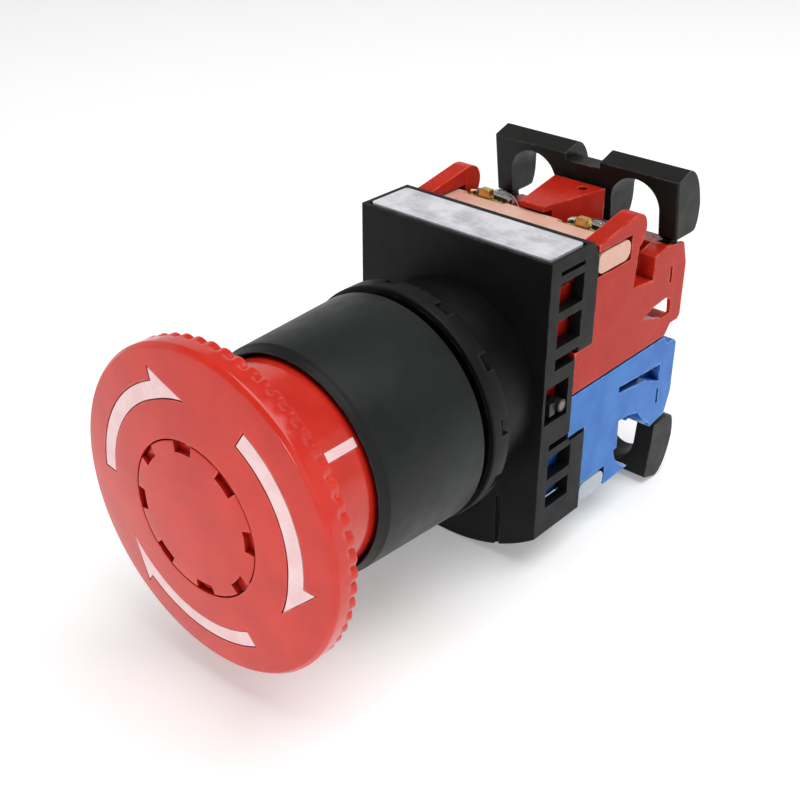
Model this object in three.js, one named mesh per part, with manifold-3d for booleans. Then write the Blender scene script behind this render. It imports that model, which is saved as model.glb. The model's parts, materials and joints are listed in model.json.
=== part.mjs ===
// Emergency stop button for a 22 mm panel hole: a push-to-lock, turn-to-release mushroom head on a
// threaded body, with an adaptor housing and two contact blocks behind the panel.
// Frame: millimetres. The origin is the centre of the panel hole on the panel's front face.
// +Y runs into the panel, along the button's axis, +Z is up and +X is to the right from the front.

import * as THREE from "three";
import { mergeVertices } from "three/addons/utils/BufferGeometryUtils.js";
import Module from "manifold-3d";

const wasm = await Module();
wasm.setup();

// ---------------------------------------------------------------- driving dimensions

const GAP = 0.3; // clearance left between pieces that meet
const TAU = 2 * Math.PI;
const ROUND_STEPS = 40; // facets round the large turned pieces
const SMALL_STEPS = 16; // facets round rods, screws and bores

const HEAD_RADIUS = 20;
const HEAD_APEX = -32.4; // y of the middle of the face
const FACE_RADIUS = 118; // radius of the slightly domed face
const RIM_BACK = -27.3;
const RIB_COUNT = 60;
const RIB_DEPTH = 0.4;
const RIB_LENGTH = 1.4;
const SKIRT_RADIUS = 13.4;
const SKIRT_BORE = 12;
const SKIRT_END = -9.5;
const HUB_RADIUS = 6.4;
const HUB_BORE = 3.9;
const HUB_END = -20.5;
const CAP_RADIUS = 9.3;
const CAP_SEAT = -30.3; // floor of the cap's recess
const ARROW_INNER = 14;
const ARROW_OUTER = 15.9;
const ARROW_BARB = 17.4;
const ARROW_START = 59.5; // degrees from +X, counted towards +Z
const ARROW_SHAFT_ANGLE = 66.5;
const ARROW_ANGLE = 85.5;
const ARROW_DEPTH = 0.45;
const ARROW_TURNS = [0, 120, 240];
const INLAY_GAP = 0.25; // clearance round an arrow or the mark in its pocket
const MARK = { angle: 35.8, half: 0.58, front: -22.4, back: -17.9, depth: 0.6 };

const COLLAR_MOUTH = -17.7;
const COLLAR_LIP = -16.4;
const COLLAR_FRONT_RADIUS = 14.75;
const COLLAR_BACK_RADIUS = 15.45;
const COLLAR_BORE = 13.75;
const BARREL_RADIUS = 11;
const BARREL_BORE = 9;
const BARREL_END = 11.2;
const WEB_FRONT = -3;
const WEB_BACK = -0.8;
const GUIDE_BORE = 3.5; // bore that the push rod slides in

const NUT_RADIUS = 15.8;
const NUT_FRONT = 1;
const NUT_BACK = 4;
const NUT_NOTCHES = 12;

const TRAVEL = 5.5; // full stroke of the button
const ROD_RADIUS = 3.1;
const ROD_FLANGE = 5.6;

const HOUSING_HALF = 15.07;
const HOUSING_FRONT = 11.8;
const HOUSING_TOP = 20;
const HOUSING_ARC = 24.5; // radius of the arched bottom, about the button's axis
const HOUSING_WALL = 1.5;
const WING_BACK = 22; // rear edge of the side walls' upper and lower wings
const WAIST_BACK = 18.3; // rear edge of the side walls in the middle
const WAIST = [-7.1, 5.9]; // lowest and highest z of that middle stretch

const SPLIT = -0.6; // z of the plane between the two contact blocks
const BLOCK_FRONT = 15.4;
const BLOCK_STEP = 22.3; // where a block widens behind the housing
const BLOCK_BACK = 45;
const BLOCK_HALF = 14.8;
const BLOCK_NOSE_HALF = 13;
const DECK = 13; // top of a block's rear deck
const SHELF = 14.7; // top of its front, under the terminal base
const EAR_INNER = 12.3;
const BARRIER_TOP = 18.9;
const PLUNGER_Z = 5; // height of the plunger's axis
const TERMINAL_X = 8.1;
const SCREW_Z = 14.5;

const COVER_PIVOT_Y = 42.6;
const COVER_PIVOT_Z = 10.6;
const COVER_HALF = 15;
const COVER_FOOT = 13.7;
const ARCH_X = 8.4; // centre of each U-shaped opening
const ARCH_HALF = 3.8; // half its width
const ARCH_TOP = 21.2;
const LINK_HALF = 2.8; // half the width of the link between the arches
const LUG_INNER = 12.8; // hinge lugs, on each side of the middle
const LUG_OUTER = 13.9;

// ---------------------------------------------------------------- shape tools

const radians = THREE.MathUtils.degToRad;

// A closed solid from a three.js geometry, with shared corners merged and slivers on an axis dropped.
function toSolid(geometry) {
  geometry.deleteAttribute("normal");
  geometry.deleteAttribute("uv");
  const merged = mergeVertices(geometry, 1e-4);
  const corners = merged.index.array;
  const triVerts = [];
  for (let i = 0; i < corners.length; i += 3) {
    const [a, b, c] = [corners[i], corners[i + 1], corners[i + 2]];
    if (a !== b && b !== c && c !== a) {
      triVerts.push(a, b, c);
    }
  }
  return new wasm.Manifold(
    new wasm.Mesh({
      numProp: 3,
      vertProperties: merged.attributes.position.array,
      triVerts: Uint32Array.from(triVerts),
    }),
  );
}

function toGeometry(solid) {
  const mesh = solid.getMesh();
  const geometry = new THREE.BufferGeometry();
  geometry.setAttribute("position", new THREE.BufferAttribute(Float32Array.from(mesh.vertProperties), 3));
  geometry.setIndex(new THREE.BufferAttribute(Uint32Array.from(mesh.triVerts), 1));
  geometry.computeVertexNormals();
  return geometry;
}

// A solid turned about the Y axis. The outline is a loop of [radius, y] points.
function turned(outline, steps = ROUND_STEPS) {
  const points = outline.map(([radius, y]) => new THREE.Vector2(radius, y));
  if (THREE.ShapeUtils.area(points) < 0) {
    points.reverse();
  }
  points.push(points[0].clone());
  return toSolid(new THREE.LatheGeometry(points, steps));
}

// A straight prism. The shape lies in the plane named, such as "xz", and runs along the other axis.
const PLANE_AXES = {
  xz: [[1, 0, 0], [0, 0, 1]],
  yz: [[0, 1, 0], [0, 0, 1]],
  xy: [[1, 0, 0], [0, 1, 0]],
};

function prism(outline, plane, from, to, curveSegments = 10) {
  const shape = outline instanceof THREE.Shape ? outline : polygon(outline);
  const [across, up] = PLANE_AXES[plane].map((axis) => new THREE.Vector3(...axis));
  const along = across.clone().cross(up);
  const sign = along.x + along.y + along.z;
  const settings = { depth: to - from, bevelEnabled: false, curveSegments };
  const geometry = new THREE.ExtrudeGeometry(shape, settings);
  geometry.applyMatrix4(new THREE.Matrix4().makeBasis(across, up, along));
  const start = along.multiplyScalar(sign > 0 ? from : -to);
  geometry.translate(start.x, start.y, start.z);
  return toSolid(geometry);
}

function polygon(points) {
  return new THREE.Shape(points.map(([a, b]) => new THREE.Vector2(a, b)));
}

function circleShape(a, b, radius) {
  const shape = new THREE.Shape();
  shape.absarc(a, b, radius, 0, TAU);
  return shape;
}

function roundedShape(a0, a1, b0, b1, radius) {
  const shape = new THREE.Shape();
  shape.moveTo(a0 + radius, b0);
  shape.absarc(a1 - radius, b0 + radius, radius, -TAU / 4, 0);
  shape.absarc(a1 - radius, b1 - radius, radius, 0, TAU / 4);
  shape.absarc(a0 + radius, b1 - radius, radius, TAU / 4, TAU / 2);
  shape.absarc(a0 + radius, b0 + radius, radius, TAU / 2, (3 * TAU) / 4);
  return shape;
}

function box(x, y, z) {
  const geometry = new THREE.BoxGeometry(x[1] - x[0], y[1] - y[0], z[1] - z[0]);
  geometry.translate((x[0] + x[1]) / 2, (y[0] + y[1]) / 2, (z[0] + z[1]) / 2);
  return toSolid(geometry);
}

// The stretch of x from `a` to `b` on one side of the middle, where side is 1 or -1.
function spanX(side, a, b) {
  return side > 0 ? [a, b] : [-b, -a];
}

// A round bar along Y or X, centred on the two other coordinates given.
function barY(radius, x, z, y0, y1, steps = SMALL_STEPS) {
  const geometry = new THREE.CylinderGeometry(radius, radius, y1 - y0, steps);
  geometry.translate(x, (y0 + y1) / 2, z);
  return toSolid(geometry);
}

function barX(radius, y, z, x0, x1, steps = SMALL_STEPS) {
  const geometry = new THREE.CylinderGeometry(radius, radius, x1 - x0, steps);
  geometry.rotateZ(TAU / 4);
  geometry.translate((x0 + x1) / 2, y, z);
  return toSolid(geometry);
}

// Turns a solid about the Y axis, by degrees counted from +X towards +Z.
const turnY = (solid, degrees) => solid.rotate([0, -degrees, 0]);

function join(...solids) {
  return solids.reduce((whole, next) => whole.add(next));
}

function cut(solid, ...tools) {
  return tools.reduce((rest, tool) => rest.subtract(tool), solid);
}

// A helical wire about the Y axis, with its first and last turns closed up.
class CoilCurve extends THREE.Curve {
  constructor(radius, start, end, turns, wire) {
    super();
    Object.assign(this, { radius, start, end, turns, wire });
  }

  getPoint(t, target = new THREE.Vector3()) {
    const angle = t * this.turns * TAU;
    const flat = 1 / this.turns; // share of the wire in one end turn
    const rise = THREE.MathUtils.clamp((t - flat) / (1 - 2 * flat), 0, 1);
    const endRise = this.wire * 1.1;
    const low = this.start + endRise * Math.min(t / flat, 1);
    const high = endRise * Math.max(0, (t - 1 + flat) / flat);
    const free = this.end - this.start - 2 * endRise;
    const y = low + rise * free + high;
    return target.set(this.radius * Math.cos(angle), y, this.radius * Math.sin(angle));
  }
}

function coil({ radius, wire, from, to, turns, x = 0, z = 0 }) {
  const section = circleShape(0, 0, wire / 2);
  const curve = new CoilCurve(radius, from + wire / 2, to - wire / 2, turns, wire);
  const geometry = new THREE.ExtrudeGeometry(section, {
    steps: Math.round(turns * 8),
    extrudePath: curve,
    curveSegments: 3,
    bevelEnabled: false,
  });
  geometry.translate(x, 0, z);
  return toSolid(geometry);
}

// ---------------------------------------------------------------- materials and nodes

const FINISH = {
  red: { color: 0xc93a34, roughness: 0.35, metalness: 0 },
  arrow: { color: 0xe4babd, roughness: 0.45, metalness: 0 },
  black: { color: 0x202422, roughness: 0.45, metalness: 0 },
  rubber: { color: 0x191a1a, roughness: 0.8, metalness: 0 },
  natural: { color: 0xd8d2c4, roughness: 0.5, metalness: 0 },
  label: { color: 0xc9cccb, roughness: 0.3, metalness: 0.4 },
  blockRed: { color: 0xbe3a2c, roughness: 0.35, metalness: 0 },
  blockBlue: { color: 0x3f72c6, roughness: 0.3, metalness: 0 },
  cream: { color: 0xd8bea4, roughness: 0.4, metalness: 0 },
  clear: { color: 0xb4c4d4, roughness: 0.25, metalness: 0 },
  brass: { color: 0xc9a85c, roughness: 0.3, metalness: 1 },
  steel: { color: 0xb6b8ba, roughness: 0.3, metalness: 1 },
};

const stopButton = new THREE.Group();

function addNode(name, solid, finish) {
  const mesh = new THREE.Mesh(toGeometry(solid), new THREE.MeshStandardMaterial(FINISH[finish]));
  mesh.name = name;
  stopButton.add(mesh);
}

// ---------------------------------------------------------------- mushroom head

// y of the domed face at a radius.
const faceY = (radius) => HEAD_APEX + radius ** 2 / (2 * FACE_RADIUS);

// The band of the face between two radii, from `above` in front of it to `below` behind it.
function faceBand(inner, outer, above, below) {
  return turned([
    [inner, faceY(inner) - above],
    [outer, faceY(outer) - above],
    [outer, faceY(outer) + below],
    [inner, faceY(inner) + below],
  ]);
}

// A clockwise arrow with a barb on its outer side, grown all round by `margin`.
function arrowShape(margin) {
  const inner = ARROW_INNER - margin;
  const outer = ARROW_OUTER + margin;
  const slack = margin / ARROW_OUTER;
  const tail = radians(ARROW_START) + slack;
  const shaftEnd = radians(ARROW_START - ARROW_SHAFT_ANGLE) + slack;
  const tip = radians(ARROW_START - ARROW_ANGLE) - 3 * slack;
  const barb = ARROW_BARB + 2 * margin;
  const shape = new THREE.Shape();
  shape.absarc(0, 0, outer, tail, shaftEnd, true);
  shape.lineTo(barb * Math.cos(shaftEnd), barb * Math.sin(shaftEnd));
  shape.lineTo((inner + 0.3) * Math.cos(tip), (inner + 0.3) * Math.sin(tip));
  shape.absarc(0, 0, inner, tip, tail, false);
  return shape;
}

// Everything outside a wavy edge, over the rear of the rim, which leaves the grip ribs standing.
function ribCutter() {
  const shape = circleShape(0, 0, HEAD_RADIUS + 1);
  const ribs = [];
  for (let i = 0; i < RIB_COUNT * 2; i += 1) {
    const radius = i % 2 === 0 ? HEAD_RADIUS : HEAD_RADIUS - RIB_DEPTH;
    const angle = (i * TAU) / (2 * RIB_COUNT);
    ribs.push(new THREE.Vector2(radius * Math.cos(angle), radius * Math.sin(angle)));
  }
  shape.holes.push(new THREE.Path(ribs));
  return prism(shape, "xz", RIM_BACK - RIB_LENGTH, RIM_BACK + 1, ROUND_STEPS);
}

// The bar of the position mark, grown all round by `margin`.
function markSolid(margin) {
  const x = [SKIRT_RADIUS - MARK.depth - margin, SKIRT_RADIUS + 0.02];
  const y = [MARK.front - margin, MARK.back + margin];
  const z = [-MARK.half - margin, MARK.half + margin];
  return turnY(box(x, y, z), MARK.angle);
}

function mushroomHead() {
  const faceRadii = [CAP_RADIUS + GAP, 13, 16, HEAD_RADIUS - 2];
  const body = turned([
    [HUB_BORE, CAP_SEAT],
    [CAP_RADIUS + GAP, CAP_SEAT],
    ...faceRadii.map((radius) => [radius, faceY(radius)]),
    [HEAD_RADIUS - 0.6, -30.65],
    [HEAD_RADIUS - 0.15, -30.35],
    [HEAD_RADIUS, -29.9],
    [HEAD_RADIUS, RIM_BACK - 0.3],
    [HEAD_RADIUS - 0.3, RIM_BACK],
    [15.2, RIM_BACK + 0.4],
    [13.9, RIM_BACK + 1.2],
    [SKIRT_RADIUS, RIM_BACK + 2.4],
    [SKIRT_RADIUS, SKIRT_END],
    [SKIRT_BORE, SKIRT_END],
    [SKIRT_BORE, -26],
    [HUB_RADIUS, -26.6],
    [HUB_RADIUS, HUB_END],
    [HUB_BORE, HUB_END],
  ]);
  const pocketBand = faceBand(ARROW_INNER - 1, ARROW_BARB + 1, 0.6, ARROW_DEPTH + INLAY_GAP);
  const pocket = prism(arrowShape(INLAY_GAP), "xz", HEAD_APEX - 1, RIM_BACK).intersect(pocketBand);
  const pockets = ARROW_TURNS.map((turn) => turnY(pocket, turn));
  return cut(body, ribCutter(), markSolid(INLAY_GAP), ...pockets);
}

const NOTCH = { count: 8, half: 9, first: 6.5, reach: 1.2, depth: 1.2 }; // half and first in degrees

function centreCap() {
  const cap = turned([
    [0, HEAD_APEX],
    [5, faceY(5)],
    [CAP_RADIUS - 0.2, faceY(CAP_RADIUS)],
    [CAP_RADIUS, faceY(CAP_RADIUS) + 0.2],
    [CAP_RADIUS, CAP_SEAT - GAP],
    [HUB_BORE - 0.5, CAP_SEAT - GAP],
    [HUB_BORE - 0.5, CAP_SEAT + 1.2],
    [0, CAP_SEAT + 1.2],
  ]);
  const halfNotch = radians(NOTCH.half);
  const notch = new THREE.Shape();
  notch.absarc(0, 0, CAP_RADIUS + 1, -halfNotch, halfNotch);
  notch.absarc(0, 0, CAP_RADIUS - NOTCH.reach, halfNotch, -halfNotch, true);
  const notchCut = prism(notch, "xz", HEAD_APEX - 1, HEAD_APEX + NOTCH.depth, 4);
  let notched = cap;
  for (let i = 0; i < NOTCH.count; i += 1) {
    notched = cut(notched, turnY(notchCut, NOTCH.first + (i * 360) / NOTCH.count));
  }
  return notched;
}

function buildHead() {
  addNode("mushroom_head", mushroomHead(), "red");
  addNode("centre_cap", centreCap(), "red");
  // each inlay lies a hair below the face
  const inlayBand = faceBand(ARROW_INNER - 1, ARROW_BARB + 1, -0.04, ARROW_DEPTH);
  const arrow = prism(arrowShape(0), "xz", HEAD_APEX - 1, RIM_BACK).intersect(inlayBand);
  ARROW_TURNS.forEach((turn, i) => addNode(`direction_arrow_${i + 1}`, turnY(arrow, turn), "arrow"));
  addNode("position_mark", markSolid(0), "arrow");
}

// ---------------------------------------------------------------- push rod and springs

const ROD_FRONT = CAP_SEAT + 1.6;
const FLANGE_FRONT = HUB_END + GAP;
const FLANGE_BACK = FLANGE_FRONT + 1.3;
const PUSHER_FRONT = 12.4;
const PUSHER_BACK = 13.8;
const ROD_TAIL = 1.6; // radius of the rod's end, inside the pusher and its clip
const ROD_END = PUSHER_BACK + 1.5;
const PIN_Y = 3.4; // latch pin, across the rod inside the barrel
const PIN_RADIUS = 0.8;
const PIN_HALF = 8.6;

function buildRod() {
  const shaft = turned([
    [0, ROD_FRONT],
    [HUB_BORE - 0.4, ROD_FRONT],
    [HUB_BORE - 0.4, FLANGE_FRONT],
    [ROD_FLANGE, FLANGE_FRONT],
    [ROD_FLANGE, FLANGE_BACK],
    [ROD_RADIUS, FLANGE_BACK],
    [ROD_RADIUS, PUSHER_FRONT - GAP],
    [ROD_TAIL, PUSHER_FRONT - GAP],
    [ROD_TAIL, ROD_END],
    [0, ROD_END],
  ], SMALL_STEPS);
  const pinHole = barX(PIN_RADIUS + GAP, PIN_Y, 0, -ROD_RADIUS - 1, ROD_RADIUS + 1);
  addNode("push_rod", cut(shaft, pinHole), "natural");
  addNode("latch_cross_pin", barX(PIN_RADIUS, PIN_Y, 0, -PIN_HALF, PIN_HALF), "steel");

  // the pusher reaches further down than up, to press both plungers
  const rodHole = barY(ROD_TAIL + GAP, 0, 0, PUSHER_FRONT - 1, ROD_END);
  const plate = prism(roundedShape(-3.4, 3.4, -8.4, 7.2, 1.5), "xz", PUSHER_FRONT, PUSHER_BACK, 4);
  addNode("contact_pusher", cut(plate, rodHole), "natural");

  const clipDisc = barY(ROD_TAIL + 1, 0, 0, PUSHER_BACK + 0.4, PUSHER_BACK + 1);
  const clipMouth = box([0, 4], [PUSHER_BACK, ROD_END], [-1, 1]);
  addNode("retainer_clip", cut(clipDisc, rodHole, clipMouth), "steel");

  const returnSpring = { radius: 4.9, wire: 0.8, from: FLANGE_BACK + GAP, to: WEB_FRONT - GAP, turns: 7 };
  addNode("return_spring", coil(returnSpring), "steel");
  const twistSpring = { radius: 8, wire: 0.7, from: -25.8, to: -21.5, turns: 4 };
  addNode("twist_spring", coil(twistSpring), "steel");
}

// ---------------------------------------------------------------- operator body, gasket and nut

const GASKET_INNER = 11.5;
const GASKET_OUTER = 14.6;
const GASKET_FRONT = -1.6;

function buildOperator() {
  const body = turned([
    [COLLAR_BORE, COLLAR_MOUTH + 0.3],
    [COLLAR_BORE + 0.3, COLLAR_MOUTH],
    [COLLAR_FRONT_RADIUS - 0.3, COLLAR_LIP - 0.45],
    [COLLAR_FRONT_RADIUS, COLLAR_LIP],
    [COLLAR_BACK_RADIUS, -0.6],
    [COLLAR_BACK_RADIUS - 0.3, -0.3],
    [GASKET_OUTER + GAP, -0.3],
    [GASKET_OUTER + GAP, GASKET_FRONT - GAP],
    [BARREL_RADIUS, GASKET_FRONT - GAP],
    [BARREL_RADIUS, BARREL_END - 0.8],
    [BARREL_RADIUS - 0.8, BARREL_END],
    [BARREL_BORE, BARREL_END],
    [BARREL_BORE, WEB_BACK],
    [GUIDE_BORE, WEB_BACK],
    [GUIDE_BORE, WEB_FRONT],
    [COLLAR_BORE, WEB_FRONT],
  ]);
  addNode("operator_body", body, "black");

  const gasket = turned([
    [GASKET_INNER, GASKET_FRONT],
    [GASKET_OUTER, GASKET_FRONT],
    [GASKET_OUTER, 0],
    [GASKET_INNER, 0],
  ]);
  addNode("panel_gasket", gasket, "rubber");

  const reliefRadius = NUT_RADIUS - 0.8;
  let nut = turned([
    [reliefRadius, NUT_FRONT],
    [NUT_RADIUS - 0.3, NUT_FRONT],
    [NUT_RADIUS, NUT_FRONT + 0.3],
    [NUT_RADIUS, NUT_BACK - 0.3],
    [NUT_RADIUS - 0.3, NUT_BACK],
    [BARREL_RADIUS + GAP, NUT_BACK],
    [BARREL_RADIUS + GAP, NUT_FRONT + 1.2],
    [reliefRadius, NUT_FRONT + 1.2],
  ]);
  const notch = box([NUT_RADIUS - 1.4, NUT_RADIUS + 1], [NUT_FRONT + 1.5, NUT_BACK + 1], [-1.1, 1.1]);
  for (let i = 0; i < NUT_NOTCHES; i += 1) {
    nut = cut(nut, turnY(notch, 8 + (i * 360) / NUT_NOTCHES));
  }
  addNode("ring_nut", nut, "black");
}

// ---------------------------------------------------------------- adaptor housing

const CAVITY_FRONT = HOUSING_FRONT + HOUSING_WALL;

// Front view of the housing, shrunk all round by `inset`: flat top and sides, arched bottom.
function housingShape(inset) {
  const half = HOUSING_HALF - inset;
  const arc = HOUSING_ARC - inset;
  const side = Math.asin(half / arc);
  const shape = new THREE.Shape();
  shape.absarc(0, 0, arc, -TAU / 4 - side, -TAU / 4 + side);
  shape.lineTo(half, HOUSING_TOP - inset);
  shape.lineTo(-half, HOUSING_TOP - inset);
  return shape;
}

// Lowest and highest z of each slot in the side walls.
const LOUVRES = [
  [17.8, 18.4],
  [13, 16.8],
  [8.1, 11.8],
  [5, 6.6],
  [-6.6, -5.7],
  [-11, -7.7],
  [-15.4, -12.4],
];
const LOUVRE_Y = [13.8, 18.9];
const LEVER_SLOT = { y: [CAVITY_FRONT - 1, 17.2], z: [-2.3, 3] };
const LABEL_SEAT = { x: 14.5, y: [12.3, 20], depth: 0.7 };

function housingBoss() {
  const bore = BARREL_BORE + 0.6;
  return turned([
    [BARREL_RADIUS + GAP, NUT_BACK + 1.2],
    [13.2, NUT_BACK + 1.2],
    [13.6, NUT_BACK + 1.6],
    [13.6, CAVITY_FRONT - 0.5],
    [bore, CAVITY_FRONT - 0.5],
    [bore, BARREL_END + GAP],
    [BARREL_RADIUS + GAP, BARREL_END + GAP],
  ]);
}

function housingSolid() {
  const shell = cut(
    prism(housingShape(0), "xz", HOUSING_FRONT, WING_BACK, 16),
    prism(housingShape(HOUSING_WALL), "xz", CAVITY_FRONT, WING_BACK + 1, 16),
    barY(BARREL_BORE + 0.6, 0, 0, HOUSING_FRONT - 1, CAVITY_FRONT + 1, ROUND_STEPS),
  );
  const above = HOUSING_TOP + 1;
  const behind = WING_BACK + 1;
  const wide = [-HOUSING_HALF - 1, HOUSING_HALF + 1];
  const inner = HOUSING_HALF - HOUSING_WALL;
  const wingCorner = [
    [20.8, above],
    [20.8, HOUSING_TOP],
    [WING_BACK, 17.6],
    [behind, 17.6],
    [behind, above],
  ];
  const grooveY = [HOUSING_FRONT - 1, HOUSING_FRONT + 0.5];
  return cut(
    join(shell, housingBoss()),
    box(wide, [WAIST_BACK, behind], WAIST),
    box([-inner, inner], [WING_BACK - 1.1, behind], [SHELF, above]),
    prism(wingCorner, "yz", ...wide),
    box([-LABEL_SEAT.x, LABEL_SEAT.x], LABEL_SEAT.y, [HOUSING_TOP - LABEL_SEAT.depth, above]),
    box([inner - HOUSING_WALL, HOUSING_HALF + 1], LEVER_SLOT.y, LEVER_SLOT.z),
    ...LOUVRES.map((z) => box(wide, LOUVRE_Y, z)),
    // two fine grooves down the lower half of the front
    ...[-9, 9].map((x) => box([x - 0.4, x + 0.4], grooveY, [-HOUSING_ARC, -15.2])),
  );
}

function buildHousing() {
  addNode("adaptor_housing", housingSolid(), "black");
  const half = LABEL_SEAT.x - GAP;
  const outline = roundedShape(-half, half, LABEL_SEAT.y[0] + GAP, LABEL_SEAT.y[1] - GAP, 0.5);
  const label = prism(outline, "xy", HOUSING_TOP - LABEL_SEAT.depth + GAP, HOUSING_TOP + 0.1, 3);
  addNode("label_plate", label, "label");

  const leverY = [CAVITY_FRONT + GAP, CAVITY_FRONT + 1.5];
  const leverZ = [-1.5, 0.3];
  const ring = turned([
    [10, leverY[0]],
    [12.6, leverY[0]],
    [12.6, leverY[1]],
    [10, leverY[1]],
  ]);
  const knobY = 15.9;
  const arm = box([12, HOUSING_HALF - 0.2], leverY, leverZ);
  const finger = box([HOUSING_HALF - 1.5, HOUSING_HALF - 0.5], [leverY[0], knobY], leverZ);
  const knob = barX(0.9, knobY, (leverZ[0] + leverZ[1]) / 2, HOUSING_HALF - 1.5, HOUSING_HALF + 0.1);
  addNode("lock_lever", join(ring, arm, finger, knob), "black");
}

// ---------------------------------------------------------------- contact blocks

// Both blocks share these shapes, drawn for the upper block. The lower one is half a turn about the
// line through the split plane, which also keeps its left and right pieces apart.
const place = {
  upper: (solid) => solid,
  lower: (solid) => solid.rotate([0, 180, 0]).translate([0, 0, 2 * SPLIT]),
};

const SIDE = 20; // further out than any side wall, for cuts made through one
const BLOCK_FLOOR = SPLIT + 0.15; // keeps half the gap between the two blocks
const PLATE_FRONT = { nc: 28.4, no: 30.6 };
const PLATE_THICK = 1.2;
const CONTACT_STEP = 0.4; // how far a contact point stands out of its plate
const BRIDGE_THICK = 0.8;
const PLATE_BOTTOM = 2.9;
const WELL_FLOOR = 9.2;
const PLATE_TOP = 18.9;
const CHAMBER = { front: 20.4, back: 41.5, low: 1.6, high: 8.1, half: 8 };

const BASE_END = { nc: 29.7, no: 28.3 }; // rear end of a terminal base
const EAR_ROOT = 31.9; // rear edge of the post that carries an ear

// Side view of an ear. The upper block's ears reach forward over its terminal base; the lower
// block's start behind it and run straight along the block's edge.
const EAR_SHAPES = {
  nc: () => {
    const ear = new THREE.Shape();
    ear.moveTo(BLOCK_STEP, 18.1);
    ear.lineTo(BLOCK_STEP, 19);
    ear.lineTo(30.2, 20.5);
    ear.quadraticCurveTo(33, 20.8, 33.3, 18.4);
    ear.quadraticCurveTo(33.3, 16.6, EAR_ROOT, 15.9);
    ear.lineTo(EAR_ROOT, DECK - 1);
    ear.lineTo(30, DECK - 1);
    ear.lineTo(30, 18.1);
    return ear;
  },
  no: () => {
    const ear = new THREE.Shape();
    ear.moveTo(BASE_END.no + GAP, SHELF - 1);
    ear.lineTo(BASE_END.no + GAP, 17.8);
    ear.lineTo(34.8, 17.6);
    ear.quadraticCurveTo(31, 16, 30.4, 12.8);
    ear.quadraticCurveTo(30.2, 11, 31.4, DECK - 3);
    ear.lineTo(29, DECK - 3);
    return ear;
  },
};

// Side view of the block behind the housing, without its ears.
const BLOCK_SIDE = [
  [BLOCK_STEP, BLOCK_FLOOR],
  [41.4, BLOCK_FLOOR],
  [42.6, 1],
  [BLOCK_BACK - 0.6, 1],
  [BLOCK_BACK, 1.6],
  [BLOCK_BACK, 9.6],
  [43.9, DECK - 0.2],
  [39.2, DECK + 0.6],
  [36.8, DECK],
  [30, DECK],
  [30, SHELF],
  [BLOCK_STEP, SHELF],
];

// Side views of the opening that lets a wire in behind the ear, and of the slot in the side wall.
const WIRE_WINDOW = {
  nc: [[31.4, 10.2], [36.5, 9.6], [36.5, DECK + 2], [31.9, DECK + 2]],
  no: [[31.2, 8.7], [33.6, 8.8], [36.3, 9.6], [37.6, 11.3], [40, DECK], [40, DECK + 2], [31.4, DECK + 2]],
};
const SIDE_SLOT = {
  nc: [[34.8, 4.4], [40.1, 2.7], [42, 2.9], [41.8, 4.9], [40.6, 5.6], [37, 5.2]],
  no: [[30.4, 3], [41.2, 3.7], [41.2, 6.4], [37.5, 4.9], [30.4, 3.9]],
};

// The barrier between the terminals widens to the rear, and its tip lies over the terminal base.
function barrier() {
  const wedge = prism([[-1.9, 28.6], [1.9, 28.6], [4.2, 39.8], [-4.2, 39.8]], "xy", DECK - 1, BARRIER_TOP);
  const baseRoom = box([-6, 6], [27, 30.2], [0, 18.1]);
  const pinHole = prism(circleShape(1.8, 37.9, 0.7), "xy", DECK, BARRIER_TOP + 1, 4);
  return cut(wedge, baseRoom, pinHole);
}

// What is cut from one side of a block: terminal well, wire window, plate slot, hinge and hook room.
function sideCuts(kind, side) {
  const { high, half } = CHAMBER;
  const plateFront = PLATE_FRONT[kind] - GAP;
  const plateBack = PLATE_FRONT[kind] + PLATE_THICK + GAP;
  return [
    box(spanX(side, 4.5, EAR_INNER), [plateFront, 36.5], [WELL_FLOOR, 22]),
    box(spanX(side, 4.5, EAR_INNER), [36, 39.3], [WELL_FLOOR + 1.3, 22]),
    prism(WIRE_WINDOW[kind], "yz", ...spanX(side, EAR_INNER - 1, SIDE)),
    box(spanX(side, 4.3, half), [plateFront, plateBack], [high - 1, WELL_FLOOR + 0.2]),
    box(spanX(side, LUG_INNER - GAP, LUG_OUTER + GAP), [40.2, BLOCK_BACK + 1], [8.2, DECK + 2]),
    barX(1.2, COVER_PIVOT_Y, COVER_PIVOT_Z, ...spanX(side, 11, LUG_INNER)),
    prism(SIDE_SLOT[kind], "yz", ...spanX(side, BLOCK_HALF - 1.6, SIDE)),
    box(spanX(side, 9.8, BLOCK_HALF - 0.5), [38.4, BLOCK_BACK + 1], [1.3, 5]),
    box(spanX(side, BLOCK_HALF - 0.5, SIDE), [40.9, 41.5], [7.6, 10]),
  ];
}

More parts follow.
